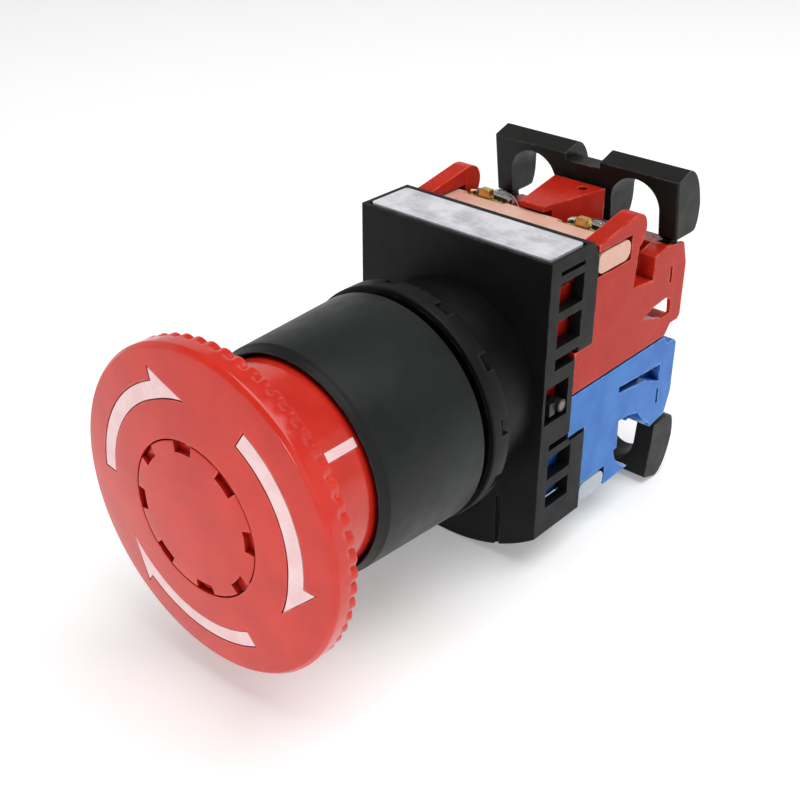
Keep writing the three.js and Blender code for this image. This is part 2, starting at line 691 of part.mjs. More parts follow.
function casing(kind) {
  const whole = [-BLOCK_HALF, BLOCK_HALF];
  const noseX = [-BLOCK_NOSE_HALF, BLOCK_NOSE_HALF];
  const nose = box(noseX, [BLOCK_FRONT, BLOCK_STEP + 1], [BLOCK_FLOOR, SHELF]);
  const tab = box(whole, [WAIST_BACK + GAP, BLOCK_STEP + 1], [BLOCK_FLOOR, 5.6]);
  const rear = prism(BLOCK_SIDE, "yz", ...whole);
  const ear = (side) => prism(EAR_SHAPES[kind](), "yz", ...spanX(side, EAR_INNER, BLOCK_HALF));

  const { front, back, low, high, half } = CHAMBER;
  const chamber = box([-half, half], [BLOCK_FRONT - 1, back], [low, high]);
  // room for the pusher in front of the guide plate, and for the rod's end when it is pushed home
  const pusherRoom = box([-4, 4], [BLOCK_FRONT - 1, front], [BLOCK_FLOOR - 1, 10.6]);
  const rodReach = ROD_END + TRAVEL + 0.7;
  const rodRoom = box([-ROD_TAIL - 1, ROD_TAIL + 1], [front - 1, rodReach], [BLOCK_FLOOR - 1, low + 1]);
  return cut(
    join(nose, tab, rear, ear(-1), ear(1), barrier()),
    chamber,
    pusherRoom,
    rodRoom,
    ...sideCuts(kind, -1),
    ...sideCuts(kind, 1),
  );
}

function terminalBase(kind) {
  const end = BASE_END[kind];
  const outline = roundedShape(BLOCK_STEP, end, SHELF + GAP, 17.8, 1.2);
  const tray = prism(outline, "yz", -BLOCK_HALF, BLOCK_HALF, 4);
  const plateRoom = [Math.min(PLATE_FRONT[kind] - GAP, 28.1), end + 1];
  const notch = (side) => box(spanX(side, 4.3, EAR_INNER - 0.9), plateRoom, [SHELF, 19]);
  return cut(tray, notch(-1), notch(1));
}

function terminal(kind, side) {
  const front = PLATE_FRONT[kind];
  const back = front + PLATE_THICK;
  const outline = [
    [side * 4.7, PLATE_BOTTOM],
    [side * 7.6, PLATE_BOTTOM],
    [side * 7.6, WELL_FLOOR + 0.4],
    [side * 11.2, WELL_FLOOR + 1.4],
    [side * 11.2, PLATE_TOP - 1.6],
    [side * (TERMINAL_X + 0.8), PLATE_TOP - 1.4],
    [side * (TERMINAL_X + 0.6), PLATE_TOP],
    [side * (TERMINAL_X - 1), PLATE_TOP],
    [side * (TERMINAL_X - 1.2), PLATE_TOP - 1.4],
    [side * 4.8, PLATE_TOP - 1.6],
    [side * 4.8, WELL_FLOOR + 0.4],
  ];
  const plate = prism(outline, "xz", front, back);
  const pointY = kind === "nc" ? [back - 0.1, back + CONTACT_STEP] : [front - CONTACT_STEP, front + 0.1];
  const contact = barY(1.2, side * 6.1, PLUNGER_Z, ...pointY);
  return cut(join(plate, contact), barY(2, side * TERMINAL_X, SCREW_Z, front - 1, back + 1));
}

function screw(side, washerBack) {
  const head = washerBack + GAP;
  const outline = [
    [0, washerBack - 3],
    [1.3, washerBack - 3],
    [1.7, washerBack - 2.6],
    [1.7, head],
    [3.1, head],
    [3.1, head + 1.5],
    [2.6, head + 2.1],
    [0, head + 2.3],
  ];
  const cross = [
    box([-2.2, 2.2], [head + 1.3, head + 3], [-0.4, 0.4]),
    box([-0.4, 0.4], [head + 1.3, head + 3], [-2.2, 2.2]),
  ];
  return cut(turned(outline, SMALL_STEPS), ...cross).translate([side * TERMINAL_X, 0, SCREW_Z]);
}

function saddleWasher(side, front) {
  const lip = [
    [-3.3, front - 0.5],
    [-2.5, front],
    [2.5, front],
    [3.3, front - 0.5],
    [3.3, front + 0.5],
    [2.6, front + 1],
    [-2.6, front + 1],
    [-3.3, front + 0.5],
  ];
  const plate = prism(lip, "xy", SCREW_Z - 3.2, SCREW_Z + 3.2);
  return cut(plate, barY(2, 0, SCREW_Z, front - 1, front + 2)).translate([side * TERMINAL_X, 0, 0]);
}

function movingContact(kind) {
  // the closed contact rests behind its plates, and the open one stops in front of them when pushed
  const closed = PLATE_FRONT.nc + PLATE_THICK + CONTACT_STEP + GAP;
  const open = PLATE_FRONT.no - CONTACT_STEP - GAP - TRAVEL - BRIDGE_THICK;
  const bridgeFront = kind === "nc" ? closed : open;
  const bridgeY = [bridgeFront, bridgeFront + BRIDGE_THICK];
  const bridge = box([-7.4, 7.4], bridgeY, [PLUNGER_Z - 2.5, PLUNGER_Z + 2.5]);
  const plunger = turned([
    [0, PUSHER_BACK + GAP],
    [1.6, PUSHER_BACK + GAP],
    [2, PUSHER_BACK + 0.8],
    [2, bridgeY[0] - GAP],
    [1.2, bridgeY[0] - GAP],
    [1.2, bridgeY[1] + 1.4],
    [0, bridgeY[1] + 1.4],
  ], SMALL_STEPS).translate([0, 0, PLUNGER_Z]);
  return {
    plunger,
    bridge: cut(bridge, barY(1.5, 0, PLUNGER_Z, bridgeY[0] - 1, bridgeY[1] + 1)),
    spring: coil({
      radius: 2,
      wire: 0.5,
      from: bridgeY[1] + GAP,
      to: CHAMBER.back - GAP,
      turns: kind === "nc" ? 5 : 7,
      z: PLUNGER_Z,
    }),
  };
}

function guidePlate() {
  const { front, low, high, half } = CHAMBER;
  const plate = box([-half + GAP, half - GAP], [front, front + 1.2], [low + GAP, high - GAP]);
  return cut(plate, barY(2.3, 0, PLUNGER_Z, front - 1, front + 3));
}

function buildBlock(kind, position, casingFinish, baseFinish) {
  const add = (name, solid, finish) => addNode(`${kind}_${name}`, place[position](solid), finish);
  add("block_casing", casing(kind), casingFinish);
  add("terminal_base", terminalBase(kind), baseFinish);
  add("guide_plate", guidePlate(), "natural");
  const { plunger, bridge, spring } = movingContact(kind);
  add("plunger", plunger, "natural");
  add("contact_bridge", bridge, "brass");
  add("contact_spring", spring, "steel");
  const washerFront = PLATE_FRONT[kind] + PLATE_THICK + 0.8;
  for (const [label, side] of [["a", -1], ["b", 1]]) {
    add(`terminal_${label}`, terminal(kind, side), "brass");
    add(`saddle_washer_${label}`, saddleWasher(side, washerFront), "steel");
    add(`terminal_screw_${label}`, screw(side, washerFront + 1), "steel");
  }
}

// ---------------------------------------------------------------- terminal covers

// Side view of a cover, with its round rear shoulder.
function coverSide() {
  const side = polygon([
    [44.9, COVER_FOOT],
    [41.2, COVER_FOOT],
    [40, 22.2],
    [43, 23.2],
  ]);
  side.quadraticCurveTo(45.6, 22.6, 46.6, 17.6);
  side.quadraticCurveTo(46.7, 15, 45.9, COVER_FOOT + 0.3);
  return side;
}

// Side view of the lug that a cover turns on.
const LUG_SIDE = [
  [-1.7, 0],
  [-1.2, -1.2],
  [0, -1.7],
  [1.2, -1.2],
  [1.7, 0],
  [0.9, COVER_FOOT + 0.5 - COVER_PIVOT_Z],
  [-1.2, COVER_FOOT + 0.5 - COVER_PIVOT_Z],
].map(([y, z]) => [COVER_PIVOT_Y + y, COVER_PIVOT_Z + z]);

function archShape(centre) {
  const arch = new THREE.Shape();
  arch.moveTo(centre - ARCH_HALF, COVER_FOOT - 1);
  arch.lineTo(centre + ARCH_HALF, COVER_FOOT - 1);
  arch.absarc(centre, ARCH_TOP - ARCH_HALF, ARCH_HALF, 0, TAU / 2);
  return arch;
}

function coverSolid() {
  const link = [-LINK_HALF, LINK_HALF];
  // the link between the arches is lower and thinner than they are
  let cover = cut(
    prism(coverSide(), "yz", -COVER_HALF, COVER_HALF, 8),
    box(link, [38, 48], [21.3, 24]),
    box(link, [43.2, 48], [COVER_FOOT - 1, 24]),
  );
  for (const side of [-1, 1]) {
    const lug = prism(LUG_SIDE, "yz", ...spanX(side, LUG_INNER, LUG_OUTER));
    const pivot = barX(0.9, COVER_PIVOT_Y, COVER_PIVOT_Z, ...spanX(side, 11.3, LUG_INNER + 0.5));
    cover = join(cut(cover, prism(archShape(side * ARCH_X), "xz", 38, 48, 12)), lug, pivot);
  }
  return cover;
}

function buildCovers() {
  const cover = coverSolid();
  addNode("upper_terminal_cover", cover, "black");
  addNode("lower_terminal_cover", place.lower(cover), "black");
}

// ---------------------------------------------------------------- the whole object

buildHead();
buildRod();
buildOperator();
buildHousing();
buildBlock("nc", "upper", "blockRed", "cream");
buildBlock("no", "lower", "blockBlue", "clear");
buildCovers();

export default stopButton;
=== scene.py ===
import json
import math

import bmesh
import bpy
from mathutils import Matrix, Vector


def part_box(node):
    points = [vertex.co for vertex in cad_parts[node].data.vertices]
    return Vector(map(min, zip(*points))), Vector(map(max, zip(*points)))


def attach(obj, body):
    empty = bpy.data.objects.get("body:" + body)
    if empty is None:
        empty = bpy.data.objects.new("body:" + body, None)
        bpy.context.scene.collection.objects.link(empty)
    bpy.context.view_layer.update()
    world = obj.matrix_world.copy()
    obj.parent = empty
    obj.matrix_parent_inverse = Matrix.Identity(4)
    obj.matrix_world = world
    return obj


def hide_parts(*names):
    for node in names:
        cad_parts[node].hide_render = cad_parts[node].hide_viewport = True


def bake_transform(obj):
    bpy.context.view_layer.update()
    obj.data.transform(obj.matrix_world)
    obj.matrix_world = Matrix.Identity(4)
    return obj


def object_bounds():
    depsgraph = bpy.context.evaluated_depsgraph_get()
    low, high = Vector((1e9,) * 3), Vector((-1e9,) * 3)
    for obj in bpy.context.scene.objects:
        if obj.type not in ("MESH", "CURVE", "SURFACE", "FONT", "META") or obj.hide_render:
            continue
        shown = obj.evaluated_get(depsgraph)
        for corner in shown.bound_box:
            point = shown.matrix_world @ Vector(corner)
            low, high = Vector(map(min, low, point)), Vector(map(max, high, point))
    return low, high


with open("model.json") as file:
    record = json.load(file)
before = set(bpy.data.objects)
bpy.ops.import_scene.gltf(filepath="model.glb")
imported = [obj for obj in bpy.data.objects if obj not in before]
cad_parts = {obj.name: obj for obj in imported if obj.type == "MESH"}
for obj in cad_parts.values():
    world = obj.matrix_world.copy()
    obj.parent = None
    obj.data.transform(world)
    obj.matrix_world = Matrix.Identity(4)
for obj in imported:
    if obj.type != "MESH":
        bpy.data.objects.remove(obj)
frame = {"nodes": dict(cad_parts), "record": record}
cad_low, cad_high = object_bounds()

# The visual model of an emergency stop button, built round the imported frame. Blender works in metres;
# the dimensions and outlines below are in millimetres, and are scaled by MM when a mesh is made.
# +Y runs into the panel along the button's axis, +Z is up, +X is to the right from the front.

MM = 0.001
TAU = 2 * math.pi

RECORD = frame["record"]
BODY_OF = {node: body for body, nodes in RECORD["behaviour"]["bodies"].items() for node in nodes}
SLOT_OF = {row["node"]: row["material_slot"] for row in RECORD["subparts"]}


# ---------------------------------------------------------------- camera

CAMERA_PLACE = Vector((92.655, -105.408, 81.539))
CAMERA_AZIMUTH = math.radians(40.75)
CAMERA_ELEVATION = math.radians(29.77)
CAMERA_ROLL = math.radians(0.37)
CAMERA_LENS = 58.5
CAMERA_SENSOR = 36
CAMERA_NEAREST = 1  # nothing closer to the camera than this is shown


def add_camera():
    level = math.cos(CAMERA_ELEVATION)
    back = Vector((
        math.sin(CAMERA_AZIMUTH) * level,
        -math.cos(CAMERA_AZIMUTH) * level,
        math.sin(CAMERA_ELEVATION),
    ))
    right = Vector((math.cos(CAMERA_AZIMUTH), math.sin(CAMERA_AZIMUTH), 0))
    up = back.cross(right)
    rolled_right = right * math.cos(CAMERA_ROLL) + up * math.sin(CAMERA_ROLL)
    rolled_up = up * math.cos(CAMERA_ROLL) - right * math.sin(CAMERA_ROLL)
    data = bpy.data.cameras.new("camera")
    data.lens = CAMERA_LENS
    data.sensor_width = CAMERA_SENSOR
    data.clip_start = CAMERA_NEAREST * MM
    camera = bpy.data.objects.new("camera", data)
    bpy.context.scene.collection.objects.link(camera)
    place = Matrix((rolled_right, rolled_up, back)).transposed().to_4x4()
    place.translation = CAMERA_PLACE * MM
    camera.matrix_world = place
    bpy.context.scene.camera = camera


add_camera()


# ---------------------------------------------------------------- driving dimensions

def box_mm(node):
    """The lowest and highest corner of a CAD node at rest, in millimetres."""
    return [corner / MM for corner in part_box(node)]


# The head and its cap. Radii are from the button's axis, and the rest are places along it.
HEAD_RADIUS = box_mm("mushroom_head")[1].x
HEAD_APEX = box_mm("centre_cap")[0].y  # middle of the domed face, which is on the cap
FACE_RADIUS = 118  # radius of the dome
FACE_EDGE = HEAD_RADIUS - 2  # where the dome meets the rounded rim
DOME_STEPS = 14
SHOULDER_RADIUS, SHOULDER_Y = HEAD_RADIUS - 0.45, HEAD_APEX + 1.64  # between the dome and the rim
RIM_FRONT, RIM_BACK = HEAD_APEX + 2.2, -27.3
SHOULDER_ROUND, RIM_FRONT_ROUND, RIM_BACK_ROUND = 0.4, 0.5, 0.25  # radii of rounded corners
RIB_FRONT = -28.9
RIB_FADE = 0.8  # length over which a rib runs out at its front
RIB_END = RIM_BACK - 0.3
RIM_INNER, RIM_END = HEAD_RADIUS - 1.4, RIM_BACK + 0.3  # points outside and in front of these are on the rim
RIB_COUNT = 60
RIB_DEPTH = 0.36
RIB_STEPS = 9
STEPS_PER_RIB = 8
SKIRT_RADIUS = 13.4
SKIRT_START = RIM_BACK + 0.4
SKIRT_FILLET = 1.9  # between the skirt and the rear of the rim
SKIRT_BORE = 12
SKIRT_FLOOR = -26
SKIRT_END = box_mm("mushroom_head")[1].y
SKIRT_END_ROUND, SKIRT_BORE_ROUND = 0.3, 0.2
HUB_RADIUS = 6.4
HUB_START = SKIRT_FLOOR - 0.6
HUB_BORE = 3.9
HUB_END = -20.5
CAP_RADIUS = box_mm("centre_cap")[1].x + 0.08  # a little wider than the CAD cap
CAP_ROUND = 0.2
CAP_RINGS = (0, 2, 4, 6, 7.6)  # radii of the points along its domed face
RECESS_RADIUS = CAP_RADIUS + 0.14  # of the seat that holds the cap
RECESS_ROUND = 0.1
RECESS_FLOOR = -30.3
CAP_BACK = RECESS_FLOOR - 0.3
CAP_STEM_RADIUS = 3.4
CAP_STEM_END = box_mm("centre_cap")[1].y
CAP_NOTCHES = 8
CAP_NOTCH_START, CAP_NOTCH_HALF = 6.5, 9  # degrees
CAP_NOTCH_INNER = 8.1
CAP_NOTCH_FLOOR = -31.3
CAP_NOTCH_STEPS = 6
OVERCUT = 1  # how far a cutter stands out of the shape it cuts

# The inlays in the face, counted in degrees from +X towards +Z, and the mark on the skirt.
ARROW_TURNS = (0, 120, 240)
ARROW_START, ARROW_SHAFT, ARROW_WHOLE = 59.5, 66.5, 85.5
ARROW_INNER, ARROW_OUTER, ARROW_BARB = 14, 15.9, 17.4
ARROW_POINT = ARROW_INNER + 0.3
ARROW_BARB_GROWTH, ARROW_POINT_GROWTH = 2, 3  # a sharp corner grows this many times the margin
ARROW_ROWS, ARROW_HEAD_ROWS, ARROW_COLUMNS = 40, 12, 5
ARROW_TOP, ARROW_FLOOR = 0.04, 0.34  # depths below the face
POCKET_GAP, POCKET_FLOOR = 0.15, 0.36  # round an arrow, and below the face
MARK_ANGLE = 35.8
MARK_HALF = 0.58
MARK_DEPTH, MARK_PROUD = 0.6, 0.02
MARK_GAP, MARK_POCKET_PROUD = 0.05, 0.5
MARK_STEPS = 8
MARK_FRONT, MARK_BACK = box_mm("position_mark")[0].y, box_mm("position_mark")[1].y

# The operator body: a tapered collar in front of the panel, and a threaded barrel through it.
COLLAR_FRONT = box_mm("operator_body")[0].y
COLLAR_RADIUS = box_mm("operator_body")[1].x
COLLAR_BACK = -0.3
COLLAR_BACK_ROUND = 0.3
COLLAR_BORE = 13.75
COLLAR_FLOOR = -3
# Corners of the collar's front lip: how far out from the bore, how far back, and their rounding.
COLLAR_LIP = ((0, 0.3, 0.1), (0.3, 0, 0.08), (0.7, 0.85, 0.1), (1, 1.3, 0.15))
SEAT_RADIUS, SEAT_FLOOR = 14.9, -1.9  # of the gasket's seat in the collar's rear face
ROD_BORE = 3.5
BARREL_RADIUS = 11
BARREL_BORE = 9
BARREL_FLOOR = -0.8
BARREL_END = box_mm("operator_body")[1].y
BARREL_TAPER, BARREL_TAPER_LENGTH, BARREL_END_ROUND = 0.8, 0.5, 0.1
BARREL_SKIN = 0.1  # points this close to the barrel's radius may carry the thread
THREAD_PITCH = 1.5
THREAD_DEPTH = 0.55
THREAD_FROM, THREAD_TO = -1.2, 10.6
THREAD_FADE = 1  # length over which the thread runs out at each end
THREAD_STEPS = 10  # points along each turn of the thread
GASKET_FRONT = box_mm("panel_gasket")[0].y
GASKET_RADIUS, GASKET_BACK = box_mm("panel_gasket")[1].xy
GASKET_BORE = BARREL_RADIUS + 0.5
GASKET_FRONT_ROUND, GASKET_BACK_ROUND = 0.2, 0.15
NUT_FRONT = box_mm("ring_nut")[0].y
NUT_RADIUS, NUT_BACK = box_mm("ring_nut")[1].xy
NUT_BORE = BARREL_RADIUS + 0.3
NUT_DISH_RADIUS, NUT_DISH_FLOOR = NUT_RADIUS - 0.8, NUT_FRONT + 1.2
NUT_FRONT_ROUND, NUT_BACK_ROUND, NUT_BORE_ROUND = 0.25, 0.3, 0.2
NUT_NOTCHES = 12
NUT_NOTCH_START = 8  # degrees
NUT_NOTCH_HALF = 1.1
NUT_NOTCH_DEPTH, NUT_NOTCH_LENGTH = 1.4, 1.5

# The knob of the lock lever, which shows in the side of the adaptor housing.
KNOB_X, KNOB_Y = box_mm("lock_lever")[1].x, box_mm("lock_lever")[1].y - 0.9
KNOB_Z = -0.6
KNOB_DOT_RADIUS, KNOB_DOT_BLUR = 0.58, 0.06
KNOB_DOT_FROM, KNOB_DOT_FULL = KNOB_X - 0.57, KNOB_X - 0.47  # where the dot's tone starts and is full

# The terminal screws.
SHANK_RADIUS = 1.7
SHANK_BEVEL = 0.4
SCREW_GAP = 0.3  # between a washer and the head of its screw
SCREW_SIDE, SCREW_HEIGHT = 1.7, 2.3  # of a head's side and of its crown
SCREW_SEAT_ROUND, SCREW_CROWN_ROUND = 0.15, 0.7
SLOT_LENGTH, SLOT_WIDTH, SLOT_FLOOR = 4.4, 0.8, 1.3

# Points round each turned shape, and along and round a spring's wire.
CAP_AROUND, NUT_AROUND, OPERATOR_AROUND, GASKET_AROUND, SCREW_AROUND = 192, 192, 160, 128, 64
COIL_PER_TURN, WIRE_AROUND = 28, 8
END_TURN_RISE = 1.1  # times the wire's thickness


# ---------------------------------------------------------------- material tools

EVEN = (1, 1, 1)  # the stretch of a noise that is alike in every direction
NOISE_ROUGHNESS = 0.55
TONE_RANGE = (0.35, 0.65)  # of a noise, from all of one tone to all of the other
GLOSS_RANGE = (0.3, 0.7)  # of a noise, from the smoothest to the roughest
WEAR_REACH, WEAR_RANGE = 0.35, (0.45, 0.85)  # millimetres, and openness from a full edge to a flat
WEAR_PATCH, WEAR_PATCH_RANGE = 1.6, (0.42, 0.62)  # millimetres, and part of a noise
WEAR_LEAST = 0.1  # share of the wear that is left between the patches
# Reach and range of the painted shade, a dark tone that darkens grooves and recesses as shade would.
SHADE_REACH, SHADE_RANGE = 2, (0.25, 0.75)  # millimetres, and openness from a deep groove to the open
GLOSS_PATCH = 2.5
GRAIN_SIZE, WAVE_SIZE = 0.22, 3.5
WAVE_HEIGHT = 2.5  # times the height of the grain
MIX_SHARE, MIX_FIRST, MIX_SECOND, MIX_RESULT = 0, 6, 7, 2  # sockets of a Mix node that mixes colours


def srgb(red, green, blue):
    """A linear colour from sRGB values of 0 to 255."""
    def linear(value):
        share = value / 255
        return share / 12.92 if share <= 0.04045 else ((share + 0.055) / 1.055) ** 2.4
    return (linear(red), linear(green), linear(blue), 1.0)


class Surface:
    """A Principled material whose looks come from noise in the piece's own coordinates."""

    def __init__(self, name, **constants):
        self.material = bpy.data.materials.new(name)
        self.material.use_nodes = True
        self.nodes = self.material.node_tree.nodes
        self.links = self.material.node_tree.links
        self.shader = self.nodes["Principled BSDF"]
        self.place = self.node("ShaderNodeTexCoord").outputs["Object"]
        for socket, value in constants.items():
            self.shader.inputs[socket.replace("_", " ")].default_value = value

    def node(self, kind, sources=(), **settings):
        """A new node. Each source is a socket to link, or a constant."""
        made = self.nodes.new(kind)
        for key, value in settings.items():
            setattr(made, key, value)
        for socket, source in dict(sources).items():
            if isinstance(source, bpy.types.NodeSocket):
                self.links.new(source, made.inputs[socket])
            else:
                made.inputs[socket].default_value = source
        return made

    def noise(self, size, detail=3, stretch=EVEN):
        """Noise from 0 to 1, with grains about `size` millimetres across."""
        scaled = self.node("ShaderNodeMapping", {"Vector": self.place, "Scale": stretch})
        sources = {
            "Vector": scaled.outputs["Vector"],
            "Scale": 1 / (size * MM),
            "Detail": detail,
            "Roughness": NOISE_ROUGHNESS,
        }
        return self.node("ShaderNodeTexNoise", sources).outputs["Fac"]

    def span(self, value, given, wanted=(0, 1)):
        """The value carried from the given range to the wanted one, and held at its ends."""
        sources = {
            "Value": value,
            "From Min": given[0],
            "From Max": given[1],
            "To Min": wanted[0],
            "To Max": wanted[1],
        }
        return self.node("ShaderNodeMapRange", sources).outputs["Result"]

    def mix(self, share, first, second):
        sources = {MIX_SHARE: share, MIX_FIRST: first, MIX_SECOND: second}
        return self.node("ShaderNodeMix", sources, data_type="RGBA").outputs[MIX_RESULT]

    def product(self, first, second):
        sources = {0: first, 1: second}
        return self.node("ShaderNodeMath", sources, operation="MULTIPLY", use_clamp=True).outputs[0]

    def openness(self, reach, inside, only_local):
        """How open the space is within `reach` mm, from 0 in a closed one to 1."""
        settings = {"inside": inside, "only_local": only_local}
        return self.node("ShaderNodeAmbientOcclusion", {"Distance": reach * MM}, **settings).outputs["AO"]

    def wear(self):
        """0 on flats, and up to 1 along an outer edge, broken up by noise."""
        edge = self.span(self.openness(WEAR_REACH, inside=True, only_local=True), WEAR_RANGE, (1, 0))
        patches = self.span(self.noise(WEAR_PATCH, detail=4), WEAR_PATCH_RANGE, (WEAR_LEAST, 1))
        return self.product(edge, patches)

    def painted_shade(self):
        """Painted shade: 0 in the open, and up to 1 deep in a narrow groove."""
        return self.span(self.openness(SHADE_REACH, inside=False, only_local=False), SHADE_RANGE, (1, 0))

    def colour(self, source):
        self.links.new(source, self.shader.inputs["Base Color"])

    def roughness(self, low, high, size):
        """Uneven gloss, in patches about `size` millimetres across."""
        uneven = self.span(self.noise(size), GLOSS_RANGE, (low, high))
        self.links.new(uneven, self.shader.inputs["Roughness"])

    def bump(self, *layers):
        """Each layer is (noise size in mm, height in mm, stretch)."""
        normal = None
        for size, height, stretch in layers:
            sources = {"Height": self.noise(size, detail=2, stretch=stretch), "Distance": height * MM}
            if normal is not None:
                sources["Normal"] = normal
            normal = self.node("ShaderNodeBump", sources).outputs["Normal"]
        self.links.new(normal, self.shader.inputs["Normal"])


def plastic(
    name, dark, light, mottle=6, rough=(0.34, 0.44), grain=0.012, worn=None, painted_shade=None, **constants
):
    """Moulded plastic: two close tones in soft patches, uneven gloss and a fine moulded grain. Where they
    are given, a worn tone runs along the edges, and a dark painted shade lies deep in narrow grooves."""
    surface = Surface(name, **constants)
    tone = surface.mix(surface.span(surface.noise(mottle, detail=4), TONE_RANGE), dark, light)
    if worn:
        tone = surface.mix(surface.wear(), tone, worn)
    # Painted shade: the colour is darkened deep in narrow grooves, where shade falls.
    if painted_shade:
        tone = surface.mix(surface.painted_shade(), tone, painted_shade)
    surface.colour(tone)
    surface.roughness(*rough, GLOSS_PATCH)
    surface.bump((GRAIN_SIZE, grain, EVEN), (WAVE_SIZE, WAVE_HEIGHT * grain, EVEN))
    return surface


# ---------------------------------------------------------------- materials

def signal_red():
    return plastic(
        "signal_red",
        srgb(196, 38, 25),
        srgb(211, 47, 31),
        rough=(0.13, 0.19),
        grain=0.005,
        worn=srgb(232, 92, 74),
        # Painted shade: dark red deep in the notches, pockets and grooves.
        painted_shade=srgb(142, 12, 14),
        Specular_IOR_Level=0.5,
    ).material


def pale_ink():
    return plastic(
        "pale_ink",
        srgb(238, 198, 200),
        srgb(246, 214, 214),
        mottle=2,
        rough=(0.4, 0.5),
    ).material


def black_plastic():
    return plastic(
        "black_plastic",
        srgb(22, 25, 24),
        srgb(28, 32, 30),
        rough=(0.38, 0.48),
        worn=srgb(62, 66, 64),
        Specular_IOR_Level=0.2,
    ).material


def housing_plastic():
    """The adaptor housing's black is deeper and duller than the operator's."""
    return plastic(
        "housing_plastic",
        srgb(10, 11, 11),
        srgb(16, 17, 16),
        rough=(0.42, 0.54),
        worn=srgb(52, 55, 54),
        Specular_IOR_Level=0.16,
    ).material


def lever_plastic():
    """Black plastic, and a pale round dot on the end of the knob."""
    surface = plastic("lever_plastic", srgb(19, 21, 20), srgb(26, 29, 28), Specular_IOR_Level=0.3)
    plain = surface.shader.inputs["Base Color"].links[0].from_socket
    parts = surface.node("ShaderNodeSeparateXYZ", {"Vector": surface.place}).outputs
    flat = surface.node("ShaderNodeCombineXYZ", {"Y": parts["Y"], "Z": parts["Z"]}).outputs["Vector"]
    sources = {0: flat, 1: Vector((0, KNOB_Y, KNOB_Z)) * MM}
    away = surface.node("ShaderNodeVectorMath", sources, operation="DISTANCE").outputs["Value"]
    rim = [(KNOB_DOT_RADIUS - KNOB_DOT_BLUR) * MM, (KNOB_DOT_RADIUS + KNOB_DOT_BLUR) * MM]
    dot = surface.span(away, rim, (1, 0))
    end = surface.span(parts["X"], (KNOB_DOT_FROM * MM, KNOB_DOT_FULL * MM))
    surface.colour(surface.mix(surface.product(dot, end), plain, srgb(128, 104, 102)))
    return surface.material


def cover_plastic():
    return plastic(
        "cover_plastic",
        srgb(16, 17, 15),
        srgb(24, 25, 22),
        mottle=4,
        rough=(0.34, 0.5),
        grain=0.016,
        worn=srgb(84, 83, 77),
        Specular_IOR_Level=0.2,
    ).material


def gasket_rubber():
    return plastic(
        "gasket_rubber",
        srgb(18, 18, 18),
        srgb(28, 28, 27),
        rough=(0.7, 0.85),
        grain=0.03,
    ).material


def label_foil():
    """Blank silver-white foil: fine brushing along its length and soft cloudy patches."""
    surface = Surface("label_foil", Metallic=0.25, Specular_IOR_Level=0.5)
    along = (0.05, 1, 1)  # the brushing runs along X
    clouds = surface.span(surface.noise(3.2, detail=5), (0.4, 0.62))
    brushing = surface.span(surface.noise(0.5, stretch=along), (0.3, 0.7), (0, 0.35))
    tone = surface.mix(clouds, srgb(224, 223, 229), srgb(178, 177, 186))
    surface.colour(surface.mix(brushing, tone, srgb(240, 241, 242)))
    surface.roughness(low=0.28, high=0.42, size=1.5)
    surface.bump((0.3, 0.006, along), (4, 0.02, EVEN))
    return surface.material


def natural_plastic():
    return plastic("natural_plastic", srgb(206, 198, 182), srgb(220, 213, 198), rough=(0.42, 0.55)).material


def red_block():
    return plastic(
        "red_block",
        srgb(174, 34, 20),
        srgb(187, 41, 25),
        mottle=5,
        rough=(0.2, 0.3),
        worn=srgb(236, 128, 96),
        # Painted shade: dark red deep in the block's pockets and grooves.
        painted_shade=srgb(96, 10, 8),
        Specular_IOR_Level=0.12,
        Subsurface_Weight=0.2,
        Subsurface_Scale=1.8 * MM,
        Subsurface_Radius=(1.0, 0.3, 0.15),
    ).material


def blue_block():
    return plastic(
        "blue_block",
        srgb(42, 106, 187),
        srgb(57, 124, 200),
        mottle=4,
        rough=(0.16, 0.26),
        worn=srgb(150, 190, 236),
        # Painted shade: dark blue deep in the block's pockets and grooves.
        painted_shade=srgb(10, 30, 96),
        Specular_IOR_Level=0.16,
        Subsurface_Weight=0.3,
        Subsurface_Scale=1.8 * MM,
        Subsurface_Radius=(0.25, 0.5, 1.0),
    ).material


def cream_plastic():
    return plastic(
        "cream_plastic",
        srgb(214, 160, 142),
        srgb(228, 182, 162),
        rough=(0.26, 0.36),
        Subsurface_Weight=0.3,
        Subsurface_Scale=1.5 * MM,
        Subsurface_Radius=(1.0, 0.6, 0.4),
    ).material


def clear_plastic():
    return plastic(
        "clear_plastic",
        srgb(214, 226, 238),
        srgb(232, 240, 248),
        rough=(0.16, 0.28),
        grain=0.008,
        Transmission_Weight=0.45,
        IOR=1.45,
    ).material


def metal(name, dark, light, rough, stretch=EVEN):
    """Two close tones in small patches, uneven gloss, and fine marks that may be stretched one way."""
    surface = Surface(name, Metallic=1.0)
    surface.colour(surface.mix(surface.span(surface.noise(1.4, detail=5), TONE_RANGE), dark, light))
    surface.roughness(*rough, size=0.8)
    surface.bump((0.25, 0.008, stretch), (1.5, 0.015, EVEN))
    return surface.material


def brass():
    drawn = (1, 1, 0.1)  # the marks run along Z
    return metal("brass", srgb(196, 158, 84), srgb(224, 190, 116), rough=(0.2, 0.34), stretch=drawn)


def zinc_steel():
    return metal("zinc_steel", srgb(196, 196, 198), srgb(226, 226, 226), rough=(0.14, 0.3))


